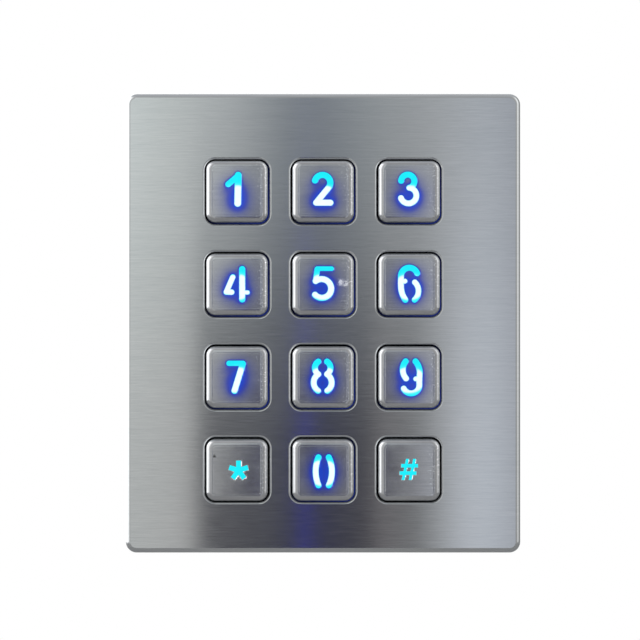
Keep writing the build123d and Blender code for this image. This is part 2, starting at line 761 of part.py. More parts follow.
def make_connector_header():
    """The open plug-in housing for the cable, lifted off the board over the pins' feet."""
    pin_row = (PIN_COUNT - 1) * PIN_PITCH
    with BuildPart() as header:
        with BuildSketch(rear_plane(BOARD_BACK, z=HEADER_Z)):
            Rectangle(HEADER_LENGTH, HEADER_DEPTH)
        extrude(amount=HEADER_HEIGHT)
        with BuildSketch(rear_plane(BOARD_BACK + HEADER_FLOOR, z=HEADER_Z)):
            Rectangle(HEADER_LENGTH - 2 * HEADER_WALL, HEADER_DEPTH - 2 * HEADER_WALL)
            with Locations((0.0, HEADER_DEPTH / 2)):
                with GridLocations(KEYWAY_SPACING, HEADER_DEPTH, 2, 1):
                    Rectangle(KEYWAY_WIDTH, 2 * HEADER_WALL)
        extrude(amount=HEADER_HEIGHT - HEADER_FLOOR, mode=Mode.SUBTRACT)
        with BuildSketch(rear_plane(BOARD_BACK, z=HEADER_Z)):
            Rectangle(pin_row + 2 * PIN_SIZE, HEADER_DEPTH)
        extrude(amount=FOOT_THICKNESS + PIN_CLEARANCE, mode=Mode.SUBTRACT)
        with BuildSketch(rear_plane(BOARD_BACK, z=HEADER_Z)):
            with GridLocations(PIN_PITCH, PIN_PITCH, PIN_COUNT, 1):
                Rectangle(PIN_SIZE + 2 * PIN_CLEARANCE, PIN_SIZE + 2 * PIN_CLEARANCE)
        extrude(amount=HEADER_FLOOR, mode=Mode.SUBTRACT)
    finish(header, "connector_header")


def make_header_pins():
    """The connector's pins, each with a solder foot that runs out below the housing."""
    with BuildPart() as pins:
        with BuildSketch(rear_plane(BOARD_BACK, z=HEADER_Z)):
            with GridLocations(PIN_PITCH, PIN_PITCH, PIN_COUNT, 1):
                Rectangle(PIN_SIZE, PIN_SIZE)
        extrude(amount=HEADER_HEIGHT - PIN_RECESS)
        with BuildSketch(rear_plane(BOARD_BACK, z=HEADER_Z)):
            with Locations((0.0, (PIN_SIZE - FOOT_LENGTH) / 2)):
                with GridLocations(PIN_PITCH, PIN_PITCH, PIN_COUNT, 1):
                    Rectangle(PIN_SIZE, FOOT_LENGTH)
        extrude(amount=FOOT_THICKNESS)
    finish(pins, "header_pins")


# ---- back cover and fasteners


def make_back_cover():
    """The moulded tray over the board, with a screw boss near each corner and a cable window."""
    with BuildPart() as cover:
        with BuildSketch(rear_plane(SEAL_BACK, z=FIELD_Z)):
            RectangleRounded(COVER_WIDTH, COVER_HEIGHT, COVER_CORNER)
        extrude(amount=COVER_BACK - SEAL_BACK)
        fillet(cover.faces().sort_by(Axis.Y)[-1].edges(), COVER_EDGE)
        with BuildSketch(rear_plane(SEAL_BACK, z=FIELD_Z)):
            RectangleRounded(COVER_INNER_WIDTH, COVER_INNER_HEIGHT, COVER_INNER_CORNER)
        extrude(amount=COVER_INNER_FLOOR - SEAL_BACK, mode=Mode.SUBTRACT)
        with BuildSketch(front_plane(COVER_INNER_FLOOR)):
            with Locations(*CORNER_POSTS):
                Circle(BOSS_RADIUS)
        extrude(amount=COVER_INNER_FLOOR - BOARD_BACK)
        with BuildSketch(front_plane(COVER_BACK)):
            with Locations(*CORNER_POSTS):
                Circle(SCREW_HOLE_RADIUS)
        extrude(amount=COVER_BACK - BOARD_BACK, mode=Mode.SUBTRACT)
        with BuildSketch(front_plane(COVER_BACK)):
            with Locations(*CORNER_POSTS):
                Circle(HEAD_RADIUS + HEAD_CLEARANCE)
        extrude(amount=HEAD_RECESS, mode=Mode.SUBTRACT)
        with BuildSketch(rear_plane(COVER_INNER_FLOOR, z=HEADER_Z)):
            RectangleRounded(HEADER_LENGTH + 2 * PLUG_ROOM, HEADER_DEPTH + 2 * PLUG_ROOM, PLUG_ROOM)
        extrude(amount=COVER_FLOOR, mode=Mode.SUBTRACT)
        with BuildSketch(front_plane(COVER_BACK, z=FIELD_Z + LABEL_Z)):
            RectangleRounded(LABEL_WIDTH, LABEL_HEIGHT, LABEL_CORNER)
        extrude(amount=LABEL_DEPTH, mode=Mode.SUBTRACT)
    finish(cover, "back_cover")


def make_cover_seal():
    """The thin seal between the cover's rim and the back of the panel."""
    with BuildPart() as seal:
        with BuildSketch(rear_plane(PANEL_BACK, z=FIELD_Z)):
            RectangleRounded(COVER_WIDTH, COVER_HEIGHT, COVER_CORNER)
            RectangleRounded(
                COVER_INNER_WIDTH, COVER_INNER_HEIGHT, COVER_INNER_CORNER, mode=Mode.SUBTRACT
            )
        extrude(amount=SEAL_THICKNESS)
    finish(seal, "cover_seal")


def make_screws(name, places, seat, length):
    """Cap screws driven from behind, with their heads on the plane at depth seat."""
    with BuildPart() as screws:
        with BuildSketch(front_plane(seat + HEAD_HEIGHT)):
            with Locations(*places):
                Circle(HEAD_RADIUS)
        extrude(amount=HEAD_HEIGHT)
        fillet(screws.faces().group_by(Axis.Y)[-1].edges(), HEAD_EDGE)
        with BuildSketch(front_plane(seat)):
            with Locations(*places):
                Circle(THREAD_RADIUS)
        extrude(amount=length)
        with BuildSketch(front_plane(seat + HEAD_HEIGHT)):
            with Locations(*places):
                RegularPolygon(HEX_RADIUS, 6)
        extrude(amount=HEX_DEPTH, mode=Mode.SUBTRACT)
    finish(screws, name)


os.makedirs("parts", exist_ok=True)

make_front_panel()
make_panel_gasket()
make_mounting_studs()
make_panel_standoffs()
make_guide_frame()
make_keymat()
make_circuit_board()
make_contact_pads()
make_backlight_leds()
make_led_resistors()
make_controller_chip()
make_crystal()
make_voltage_regulator()
make_filter_capacitors()
make_buzzer()
make_connector_header()
make_header_pins()
make_back_cover()
make_cover_seal()
make_screws("board_screws", GRID_POSTS, BOARD_BACK, BOARD_SCREW_LENGTH)
make_screws("cover_screws", CORNER_POSTS, COVER_HEAD_SEAT, COVER_SCREW_LENGTH)
for key_name, (key_x, key_z) in KEY_PLACES.items():
    make_key_cap(key_name, key_x, key_z)
    make_light_guide(key_name, key_x, key_z)
    make_contact_ring(key_name, key_x, key_z)
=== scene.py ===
"""Looks of the backlit keypad access reader: materials, lit legends, threads, domes and studio.

Everything is in metres in the part's frame: the wall plane is y = 0, the keys face -Y, +Z is up.
"""

import math

import bmesh
import bpy
import numpy as np
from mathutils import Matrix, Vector


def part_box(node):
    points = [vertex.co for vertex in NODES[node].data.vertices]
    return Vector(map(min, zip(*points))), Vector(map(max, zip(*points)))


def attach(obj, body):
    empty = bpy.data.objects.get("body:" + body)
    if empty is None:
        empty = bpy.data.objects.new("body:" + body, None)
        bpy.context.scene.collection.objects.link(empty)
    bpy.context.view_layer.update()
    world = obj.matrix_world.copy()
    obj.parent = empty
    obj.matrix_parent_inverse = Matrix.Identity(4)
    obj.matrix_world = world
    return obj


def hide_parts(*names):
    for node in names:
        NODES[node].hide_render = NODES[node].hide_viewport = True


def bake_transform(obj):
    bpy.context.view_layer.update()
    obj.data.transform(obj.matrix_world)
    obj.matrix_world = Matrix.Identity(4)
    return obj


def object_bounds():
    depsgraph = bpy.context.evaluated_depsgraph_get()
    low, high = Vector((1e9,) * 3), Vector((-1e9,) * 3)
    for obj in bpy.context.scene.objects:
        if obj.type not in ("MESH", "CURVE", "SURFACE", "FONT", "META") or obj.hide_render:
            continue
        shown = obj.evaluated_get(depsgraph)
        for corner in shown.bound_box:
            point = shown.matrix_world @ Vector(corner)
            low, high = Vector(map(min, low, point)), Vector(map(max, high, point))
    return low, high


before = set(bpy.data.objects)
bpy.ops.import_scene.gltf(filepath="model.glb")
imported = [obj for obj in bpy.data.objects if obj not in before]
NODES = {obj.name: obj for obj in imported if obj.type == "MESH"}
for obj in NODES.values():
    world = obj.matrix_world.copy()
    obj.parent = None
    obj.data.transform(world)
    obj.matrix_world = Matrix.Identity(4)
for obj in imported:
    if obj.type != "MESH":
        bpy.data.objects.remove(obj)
CAD_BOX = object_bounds()
MM = 0.001

KEYS = ["1", "2", "3", "4", "5", "6", "7", "8", "9", "star", "0", "hash"]
PLAIN_KEYS = ("star", "hash")
ROOT = "housing"


def middle(node):
    """The centre of a CAD node's box."""
    low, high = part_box(node)
    return (low + high) / 2


def placed(name, data):
    """A new object in the scene."""
    made = bpy.data.objects.new(name, data)
    bpy.context.scene.collection.objects.link(made)
    return made


def coat(piece, material):
    """Give a piece one material, in place of any that it has."""
    piece.data.materials.clear()
    piece.data.materials.append(material)


# ---- small helpers for node materials


class Nodes:
    """Short ways to add and join the nodes of a material or of the world."""

    def __init__(self, tree, shader):
        self.tree = tree
        self.shader = tree.nodes[shader]

    def add(self, kind, **settings):
        """A new node with its properties set."""
        made = self.tree.nodes.new(kind)
        for name, value in settings.items():
            setattr(made, name, value)
        return made

    def join(self, output, target):
        """Link an output to a socket; a name means a socket of the shader."""
        if isinstance(target, str):
            target = self.shader.inputs[target]
        self.tree.links.new(output, target)

    def math(self, operation, first, second):
        """One operation on two values; each may be an output or a number."""
        made = self.add("ShaderNodeMath", operation=operation)
        for socket, value in zip(made.inputs, (first, second)):
            if isinstance(value, bpy.types.NodeSocket):
                self.join(value, socket)
            else:
                socket.default_value = value
        return made.outputs["Value"]

    def span(self, value, low, high, kind="LINEAR"):
        """A value brought from low..high to 0..1."""
        span = self.add("ShaderNodeMapRange", interpolation_type=kind)
        span.inputs["From Min"].default_value = low
        span.inputs["From Max"].default_value = high
        self.join(value, span.inputs["Value"])
        return span.outputs["Result"]

    def noise(self, scale, detail=3.0, roughness=0.5):
        """Noise over the part's frame; scale is per metre, one number or one for each axis."""
        place = self.add("ShaderNodeTexCoord")
        stretch = self.add("ShaderNodeMapping")
        scales = scale if isinstance(scale, tuple) else (scale,) * 3
        stretch.inputs["Scale"].default_value = scales
        noise = self.add("ShaderNodeTexNoise")
        noise.inputs["Scale"].default_value = 1.0
        noise.inputs["Detail"].default_value = detail
        noise.inputs["Roughness"].default_value = roughness
        self.join(place.outputs["Object"], stretch.inputs["Vector"])
        self.join(stretch.outputs["Vector"], noise.inputs["Vector"])
        return noise.outputs["Fac"]

    def cells(self, scale):
        """Distance to the nearest of many scattered points, over the part's frame."""
        place = self.add("ShaderNodeTexCoord")
        cells = self.add("ShaderNodeTexVoronoi", feature="F1")
        cells.inputs["Scale"].default_value = scale
        self.join(place.outputs["Object"], cells.inputs["Vector"])
        return cells.outputs["Distance"]

    def ramp(self, factor, *stops):
        """A colour or grey for each position; a bare number is a grey."""
        ramp = self.add("ShaderNodeValToRGB")
        elements = ramp.color_ramp.elements
        while len(elements) < len(stops):
            elements.new(0.5)
        for element, (position, colour) in zip(elements, stops):
            element.position = position
            grey = not isinstance(colour, tuple)
            element.color = (colour,) * 3 + (1.0,) if grey else colour + (1.0,)
        self.join(factor, ramp.inputs["Fac"])
        return ramp.outputs["Color"]

    def blend(self, kind, factor, first, second):
        """Mix two colours; each may be an output or a fixed colour."""
        mix = self.add("ShaderNodeMix", data_type="RGBA", blend_type=kind)
        for index, value in ((0, factor), (6, first), (7, second)):
            socket = mix.inputs[index]
            if isinstance(value, bpy.types.NodeSocket):
                self.join(value, socket)
            else:
                socket.default_value = value if index == 0 else value + (1.0,)
        return mix.outputs[2]

    def attribute(self, name):
        """A number stored on the mesh's points."""
        return self.add("ShaderNodeAttribute", attribute_name=name).outputs["Fac"]

    def bump(self, height, strength, distance, under=None):
        """Relief from a height, on top of another relief if one is given."""
        bump = self.add("ShaderNodeBump")
        bump.inputs["Strength"].default_value = strength
        bump.inputs["Distance"].default_value = distance
        self.join(height, bump.inputs["Height"])
        if under is not None:
            self.join(under, bump.inputs["Normal"])
        return bump.outputs["Normal"]


class Paint(Nodes):
    """A new material, with values for its shader's sockets; _ in a name stands for a space."""

    def __init__(self, name, **settings):
        self.material = bpy.data.materials.new(name)
        self.material.use_nodes = True
        super().__init__(self.material.node_tree, "Principled BSDF")
        for socket, value in settings.items():
            self.shader.inputs[socket.replace("_", " ")].default_value = value

    def grain_across(self):
        """Draw highlights out up and down, as a grain that runs from side to side does."""
        along = self.add("ShaderNodeCombineXYZ")
        along.inputs["Z"].default_value = 1.0
        self.join(along.outputs["Vector"], "Tangent")


def brushed_steel():
    """Stainless plate brushed from side to side, with smears and a few longer scratches."""
    paint = Paint("brushed_steel", Metallic=1.0, Anisotropic=1.0)
    grain = paint.noise((230.0, 60.0, 5200.0), detail=4.0, roughness=0.65)
    streaks = paint.noise((40.0, 30.0, 1700.0), detail=3.0, roughness=0.6)
    smears = paint.noise((28.0, 28.0, 40.0), detail=4.0, roughness=0.55)
    light = paint.ramp(grain, (0.25, (0.55, 0.565, 0.57)), (0.75, (0.64, 0.65, 0.655)))
    tinted = paint.ramp(streaks, (0.3, (0.95, 0.955, 0.96)), (0.7, (1.0, 1.0, 1.0)))
    worn = paint.ramp(smears, (0.3, (0.95, 0.96, 0.96)), (0.7, (1.0, 1.0, 1.0)))
    colour = paint.blend("MULTIPLY", 1.0, light, tinted)
    paint.join(paint.blend("MULTIPLY", 1.0, colour, worn), "Base Color")
    rough = paint.blend(
        "MIX",
        0.4,
        paint.ramp(grain, (0.2, 0.075), (0.8, 0.115)),
        paint.ramp(smears, (0.3, 0.075), (0.75, 0.115)),
    )
    paint.join(rough, "Roughness")
    paint.grain_across()
    lines = paint.bump(streaks, strength=0.06, distance=0.02 * MM)
    relief = paint.bump(grain, strength=0.08, distance=0.008 * MM, under=lines)
    paint.join(relief, "Normal")
    return paint.material


def key_steel():
    """Satin key metal, worn bright at one edge, with painted blue light round the legend: an emission
    and a blue tint, though the metal is no lamp.
    """
    paint = Paint("key_steel", Metallic=1.0, Anisotropic=0.7)
    painted_glow = paint.attribute("painted_glow")
    grain = paint.noise((160.0, 400.0, 5200.0), detail=3.0, roughness=0.6)
    cloud = paint.noise(170.0, detail=4.0, roughness=0.6)
    specks = paint.noise(2400.0, detail=2.0, roughness=0.7)
    light = paint.ramp(grain, (0.25, (0.50, 0.51, 0.52)), (0.8, (0.62, 0.63, 0.64)))
    dull = paint.ramp(cloud, (0.3, (0.90, 0.90, 0.92)), (0.7, (1.0, 1.0, 1.0)))
    bright = paint.ramp(specks, (0.60, 0.0), (0.66, 1.0))
    edges = paint.ramp(paint.attribute("wear"), (0.0, 0.0), (1.0, 1.0))
    worn = paint.blend("MULTIPLY", 1.0, bright, edges)
    blots = paint.noise(1500.0, detail=4.0, roughness=0.7)
    crust = paint.math("MULTIPLY", paint.attribute("crust"), paint.span(blots, 0.40, 0.52))
    colour = paint.blend("MULTIPLY", 1.0, light, dull)
    steel = paint.blend("MIX", worn, colour, (0.92, 0.93, 0.94))
    # painted light: where the painted blue light lies, the steel's colour is tinted towards deep blue
    painted_blue_share = paint.ramp(painted_glow, (0.0, 0.0), (0.6, 0.8), (1.0, 0.95))
    pitted = paint.blend("MIX", paint.attribute("pit"), steel, (0.02, 0.02, 0.02))
    painted_blue_steel = paint.blend("MIX", painted_blue_share, pitted, (0.01, 0.02, 0.16))
    paint.join(paint.blend("MIX", crust, painted_blue_steel, (0.75, 0.77, 0.80)), "Base Color")
    paint.join(paint.span(crust, 1.0, 0.0), "Metallic")
    paint.join(paint.ramp(cloud, (0.25, 0.13), (0.75, 0.19)), "Roughness")
    paint.grain_across()
    # painted light: a blue emission from the metal round the legend and on the key's sides, though
    # the metal is no lamp
    blue = paint.ramp(
        painted_glow,
        (0.0, (0.0, 0.0, 0.0)),
        (0.35, (0.01, 0.02, 0.13)),
        (0.7, (0.012, 0.03, 0.34)),
        (1.0, (0.01, 0.05, 0.48)),
    )
    paint.join(blue, "Emission Color")
    paint.shader.inputs["Emission Strength"].default_value = 1.0
    waves = paint.bump(cloud, strength=0.08, distance=0.03 * MM)
    deposit = paint.bump(crust, strength=0.6, distance=0.06 * MM, under=waves)
    relief = paint.bump(grain, strength=0.10, distance=0.006 * MM, under=deposit)
    paint.join(relief, "Normal")
    return paint.material


def legend_light():
    """Translucent legend filling: white where the lamp is behind it and cyan at its ends."""
    paint = Paint("legend_light", Roughness=0.5, Specular_IOR_Level=0.15)
    core = paint.attribute("core")
    grain = paint.noise(900.0, detail=2.0)
    colour = paint.ramp(
        core,
        (0.0, (0.0, 0.30, 0.75)),
        (0.22, (0.0, 0.86, 0.95)),
        (0.55, (0.10, 0.95, 1.0)),
        (0.9, (0.95, 1.0, 1.0)),
    )
    even = paint.ramp(grain, (0.3, (0.94, 0.94, 0.94)), (0.7, (1.0, 1.0, 1.0)))
    lit = paint.blend("MULTIPLY", 1.0, colour, even)
    paint.join(lit, "Emission Color")
    paint.join(paint.ramp(core, (0.0, (0.0, 0.03, 0.08)), (1.0, (0.0, 0.05, 0.10))), "Base Color")
    paint.shader.inputs["Emission Strength"].default_value = 1.0
    return paint.material


def plastic(name, dark, light, grain_scale=2600.0, relief=0.03 * MM):
    """Moulded plastic with a spark-eroded grain and faint clouding."""
    paint = Paint(name, Specular_IOR_Level=0.4)
    cloud = paint.noise(60.0, detail=4.0)
    grain = paint.cells(grain_scale)
    paint.join(paint.ramp(cloud, (0.3, dark), (0.7, light)), "Base Color")
    paint.join(paint.ramp(cloud, (0.3, 0.45), (0.7, 0.6)), "Roughness")
    paint.join(paint.bump(grain, strength=0.35, distance=relief), "Normal")
    return paint.material


def rubber(name, dark, light, roughness=(0.6, 0.8)):
    """Matte rubber or silicone with a fine pebbled skin and a trace of dust."""
    paint = Paint(name, Specular_IOR_Level=0.3)
    dust = paint.noise(220.0, detail=5.0, roughness=0.65)
    pebble = paint.noise(5200.0, detail=2.0)
    paint.join(paint.ramp(dust, (0.35, dark), (0.75, light)), "Base Color")
    paint.join(paint.ramp(dust, (0.3, roughness[0]), (0.7, roughness[1])), "Roughness")
    paint.join(paint.bump(pebble, strength=0.3, distance=0.02 * MM), "Normal")
    return paint.material


def metal(name, dark, light):
    """Bare or plated metal with a fine mottle and slight staining."""
    paint = Paint(name, Metallic=1.0)
    grain = paint.noise(300.0, detail=4.0, roughness=0.6)
    stain = paint.noise(120.0, detail=4.0)
    tone = paint.ramp(grain, (0.25, dark), (0.75, light))
    dull = paint.ramp(stain, (0.3, (0.85, 0.85, 0.84)), (0.7, (1.0, 1.0, 1.0)))
    paint.join(paint.blend("MULTIPLY", 1.0, tone, dull), "Base Color")
    paint.join(paint.ramp(stain, (0.3, 0.38), (0.7, 0.22)), "Roughness")
    paint.join(paint.bump(grain, strength=0.2, distance=0.01 * MM), "Normal")
    return paint.material


def board_laminate():
    """Green solder mask over glass weave, with the copper's pattern just showing through."""
    paint = Paint("board_laminate", Coat_Weight=0.4)
    weave = paint.noise(1500.0, detail=1.0)
    copper = paint.cells(240.0)
    base = paint.ramp(copper, (0.30, (0.010, 0.110, 0.045)), (0.36, (0.016, 0.150, 0.062)))
    cloth = paint.ramp(weave, (0.3, (0.85, 0.85, 0.85)), (0.7, (1.0, 1.0, 1.0)))
    paint.join(paint.blend("MULTIPLY", 1.0, base, cloth), "Base Color")
    paint.join(paint.ramp(weave, (0.3, 0.28), (0.7, 0.40)), "Roughness")
    paint.join(paint.bump(copper, strength=0.25, distance=0.03 * MM), "Normal")
    return paint.material


def lamp_package():
    """The lamps on the board, which shine blue."""
    paint = Paint("lamp_package", Roughness=0.3)
    haze = paint.noise(1800.0, detail=2.0)
    body = paint.ramp(haze, (0.3, (0.80, 0.84, 0.88)), (0.7, (0.9, 0.93, 0.95)))
    shine = paint.ramp(haze, (0.3, (0.15, 0.45, 1.0)), (0.7, (0.25, 0.6, 1.0)))
    paint.join(body, "Base Color")
    paint.join(shine, "Emission Color")
    paint.shader.inputs["Emission Strength"].default_value = 1.5
    return paint.material


# ---- the lit keys: copies of the CAD meshes with a fine grid on the face


# how near counts as the same place, which points are welded, and how finely a cut tells sides
NEARLY = 0.01 * MM
WELD_DISTANCE = 0.002 * MM
CUT_DISTANCE = 0.001 * MM

# the grid cut into a face, and the spacing of the points along a legend's outline
GRID_STEP = 0.35 * MM
GRID_REACH = 6.0 * MM
OUTLINE_STEP = 0.08 * MM

# the crown of a key's face, and its outline
CROWN_RADIUS = 700 * MM
CROWN_DEPTH = 1.0 * MM
HALF_KEY = 6.7 * MM
KEY_CORNER = 2.0 * MM

# the roll of a key's edge: its width and depth, and how late it tightens
ROLL = 1.6 * MM
ROLL_POWER = 3.4

# marks on a face: places across and up from the key's middle, and radius
CRUST = ((3.8 * MM, 0.4 * MM, 0.6 * MM), (4.9 * MM, 0.1 * MM, 0.55 * MM))
PIT = ((-4.9 * MM, 3.1 * MM, 0.25 * MM),)
MARK_STRENGTH = 1.5

# the lamp of each key: how far below the middle of the key it shines, in millimetres
TOP_ROW = ("1", "2", "3")
TOP_ROW_LAMP_DROP = 1.5
LAMP_DROP = 0.6

# the painted blue light on a face, an emission on the metal in place of the lamp's spill: its reach
# about the lamp and from the legend in millimetres, and strengths
HALO_WIDTH = 3.8
HALO_HEIGHT = 4.0
HALO_FADE = 1.9
HALO_BY_LEGEND = 1.05
HALO_ALL_OVER = 0.30
RIM_WIDTH = 0.22
RIM_GLOW = 0.45

# painted light on a key's deep sides, in place of light that leaks past them: how deep it starts, its
# full strength, its share of that level with the lamp, and the millimetres to the right or down over
# which the share grows by one
LEAK_DEPTH = 1.9 * MM
LEAK_GLOW = 0.4
LEAK_AT_LAMP = 0.15
LEAK_REACH = 16

# the worn right edge: where it starts and how far on it is full, in millimetres
WEAR_START = 3.2
WEAR_REACH = 2.6

# the white middle of a lit legend: half its width and height, then its edge and how blurred that is
# as shares of them; the rim of a stroke in millimetres; the share of light that the cyan ends have
WHITE_WIDTH = 3.6
WHITE_HEIGHT = 2.9
WHITE_EDGE = 0.98
WHITE_BLUR = 0.06
STROKE_RIM = 0.12
CYAN = 0.25


def welded_copy(node, name):
    """A new object and its editable mesh, copied from a CAD node with split points welded."""
    mesh = NODES[node].data.copy()
    mesh.name = name
    piece = placed(name, mesh)
    shape = bmesh.new()
    shape.from_mesh(mesh)
    bmesh.ops.remove_doubles(shape, verts=shape.verts, dist=WELD_DISTANCE)
    return piece, shape


def front_faces(shape, level):
    """The faces that lie on the plane y = level."""
    return [f for f in shape.faces if all(abs(v.co.y - level) < NEARLY for v in f.verts)]


def cut_grid(shape, level, centre):
    """Cut the face at y = level into a fine grid about a key's middle."""
    steps = int(GRID_REACH / GRID_STEP)
    for axis in (Vector((1, 0, 0)), Vector((0, 0, 1))):
        for index in range(-steps, steps + 1):
            faces = front_faces(shape, level)
            edges = {e for f in faces for e in f.edges}
            points = {v for f in faces for v in f.verts}
            bmesh.ops.bisect_plane(
                shape,
                geom=faces + list(edges) + list(points),
                dist=CUT_DISTANCE,
                plane_co=centre + axis * (index + 0.5) * GRID_STEP,
                plane_no=axis,
            )


def legend_outline(shape, level):
    """Points spaced closely along the edge of the face at y = level, as an array of (x, z)."""
    flat = set(front_faces(shape, level))
    rim = [e for e in shape.edges if sum(f in flat for f in e.link_faces) == 1]
    points = []
    for edge in rim:
        a, b = (v.co for v in edge.verts)
        count = max(1, int((b - a).length / OUTLINE_STEP))
        points += [a.lerp(b, i / count) for i in range(count)]
    return np.array([(p.x, p.z) for p in points])


def distances(shape, outline):
    """How far each point of a mesh is from the legend's outline, across the face, in mm."""
    at = np.array([(v.co.x, v.co.z) for v in shape.verts])
    return np.array([np.sqrt(((outline - p) ** 2).sum(1).min()) for p in at]) / MM


def split_roll(shape, level):
    """Halve the triangles of a key's rolled edge."""
    depth = {v: v.co.y - level for v in shape.verts}
    roll = [
        f
        for f in shape.faces
        if all(depth[v] < ROLL + NEARLY for v in f.verts)
        and any(depth[v] > NEARLY for v in f.verts)
    ]
    edges = {e for f in roll for e in f.edges}
    bmesh.ops.subdivide_edges(shape, edges=list(edges), cuts=1, use_grid_fill=True)


def soften_roll(shape, centre, level):
    """Give a key's edge a roll that tightens outwards, in place of a plain quarter round."""
    for point in shape.verts:
        if NEARLY < point.co.y - level < ROLL - NEARLY:
            away = [abs(point.co[i] - centre[i]) for i in (0, 2)]
            past = [max(0.0, a - HALF_KEY + KEY_CORNER) for a in away]
            inset = KEY_CORNER - math.hypot(*past)
            if 0 < inset < ROLL:
                out = 1 - inset / ROLL
                depth = 1 - (1 - out**ROLL_POWER) ** (1 / ROLL_POWER)
                point.co.y = level + ROLL * depth


def crown(shape, centre):
    """Make a key's front very slightly domed, highest at its middle."""
    level = min(v.co.y for v in shape.verts)
    for point in shape.verts:
        across = (point.co.x - centre.x) ** 2 + (point.co.z - centre.z) ** 2
        depth = max(0.0, 1 - (point.co.y - level) / CROWN_DEPTH)
        point.co.y += depth * across / (2 * CROWN_RADIUS)


def store(piece, name, values):
    """Put one number per point on a mesh."""
    layer = piece.data.attributes.new(name, "FLOAT", "POINT")
    layer.data.foreach_set("value", np.asarray(values, np.float32))


def smooth(piece, angle=35.0):
    """Shade a mesh smooth, with edges sharper than an angle in degrees kept."""
    piece.data.shade_smooth()
    piece.data.set_sharp_from_angle(angle=math.radians(angle))


def from_lamp(points, name, centre):
    """How far each point lies across and up from a key's lamp, in mm."""
    drop = TOP_ROW_LAMP_DROP if name in TOP_ROW else LAMP_DROP
    x = (points[:, 0] - centre.x) / MM
    z = (points[:, 2] - centre.z) / MM
    return x, z + drop


def spots(points, centre, marks):
    """How deep each point lies in some round marks, from 0 to 1."""
    deep = np.zeros(len(points))
    for x, z, radius in marks:
        away = np.hypot(points[:, 0] - centre.x - x, points[:, 2] - centre.z - z)
        mark = np.clip(MARK_STRENGTH * np.exp(-((away / radius) ** 4)), 0, 1)
        deep = np.maximum(deep, mark)
    return deep


def lit_cap(name, outline, centre, steel):
    """A key cap whose face carries painted blue light round its legend and on its sides, and the wear
    of its edges.
    """
    node = f"key_cap_{name}"
    piece, shape = welded_copy(node, f"key_face_{name}")
    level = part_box(node)[0].y
    split_roll(shape, level)
    soften_roll(shape, centre, level)
    cut_grid(shape, level, centre)
    distance = distances(shape, outline)
    points = np.array([v.co for v in shape.verts])
    crown(shape, centre)
    shape.to_mesh(piece.data)
    shape.free()
    x, z = from_lamp(points, name, centre)
    front = np.abs(points[:, 1] - level) < NEARLY
    # painted light: a blue pool about the lamp and round the legend, a bright line along the legend's
    # edge, and blue on the key's deep sides, though the metal is no lamp
    near = np.exp(-((x / HALO_WIDTH) ** 2 + (z / HALO_HEIGHT) ** 2))
    painted_halo = HALO_BY_LEGEND * np.exp(-distance / HALO_FADE) * near + HALO_ALL_OVER * near
    rim = RIM_GLOW * np.exp(-((distance / RIM_WIDTH) ** 2))
    deep = points[:, 1] > level + LEAK_DEPTH
    painted_leak = LEAK_GLOW * deep * np.clip(LEAK_AT_LAMP + (x - z) / LEAK_REACH, 0, 1)
    plain = name in PLAIN_KEYS
    painted_glow = np.zeros(len(points)) if plain else np.clip(painted_halo + rim, 0, 1) * front + painted_leak
    store(piece, "painted_glow", painted_glow)
    store(piece, "wear", np.clip((x - WEAR_START) / WEAR_REACH, 0, 1))
    store(piece, "crust", spots(points, centre, CRUST if name == "5" else ()))
    store(piece, "pit", spots(points, centre, PIT if name == "star" else ()))
    smooth(piece, angle=55.0)
    coat(piece, steel)
    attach(piece, f"key_{name}")
    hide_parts(node)


def lit_guide(name, centre, light):
    """A light guide whose face is white near the lamp and cyan towards its ends."""
    node = f"light_guide_{name}"
    piece, shape = welded_copy(node, f"lit_legend_{name}")
    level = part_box(node)[0].y
    outline = legend_outline(shape, level)
    cut_grid(shape, level, centre)
    distance = distances(shape, outline)
    points = np.array([v.co for v in shape.verts])
    crown(shape, centre)
    shape.to_mesh(piece.data)
    shape.free()
    x, z = from_lamp(points, name, centre)
    reach = np.sqrt((x / WHITE_WIDTH) ** 2 + (z / WHITE_HEIGHT) ** 2)
    white = 1 / (1 + np.exp((reach - WHITE_EDGE) / WHITE_BLUR))
    inside = np.clip(distance / STROKE_RIM, 0, 1)
    core = CYAN + (1 - CYAN) * white * (1 + inside) / 2
    if name in PLAIN_KEYS:
        core = np.full(len(points), CYAN)
    store(piece, "core", core)
    smooth(piece)
    coat(piece, light)
    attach(piece, f"key_{name}")
    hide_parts(node)
    return outline


def make_keys():
    """All twelve keys with their lit legends."""
    steel = key_steel()
    light = legend_light()
    for name in KEYS:
        centre = middle(f"key_cap_{name}")
        outline = lit_guide(name, centre, light)
        lit_cap(name, outline, centre, steel)


# ---- threaded studs


THREAD_PITCH = 0.7 * MM
THREAD_DEPTH = 0.38 * MM

# how finely a thread is drawn: points round it, and rings to a pitch
THREAD_SIDES = 40
THREAD_ROWS = 7

# the shares of half a pitch that the thread's root and flank take up; its crest has the rest
ROOT_FLAT = 0.12
FLANK = 0.70

STUD_RADIUS = 2.0 * MM
PLAIN_SHANK = 2.0 * MM
TIP_CONE = 0.6 * MM

# the weld collar, and the height and width at which its top edge starts to round, as shares
WELD_RADIUS = 2.4 * MM
WELD_HEIGHT = 1.0 * MM
WELD_SHOULDER = 0.7
WELD_TAPER = 0.97


def thread_profile(phase):
    """The height of a thread's flank, from 0 at its root to 1 at its crest."""
    ridge = 1 - abs(2 * (phase % 1.0) - 1)
    return min(1.0, max(0.0, (ridge - ROOT_FLAT) / FLANK))


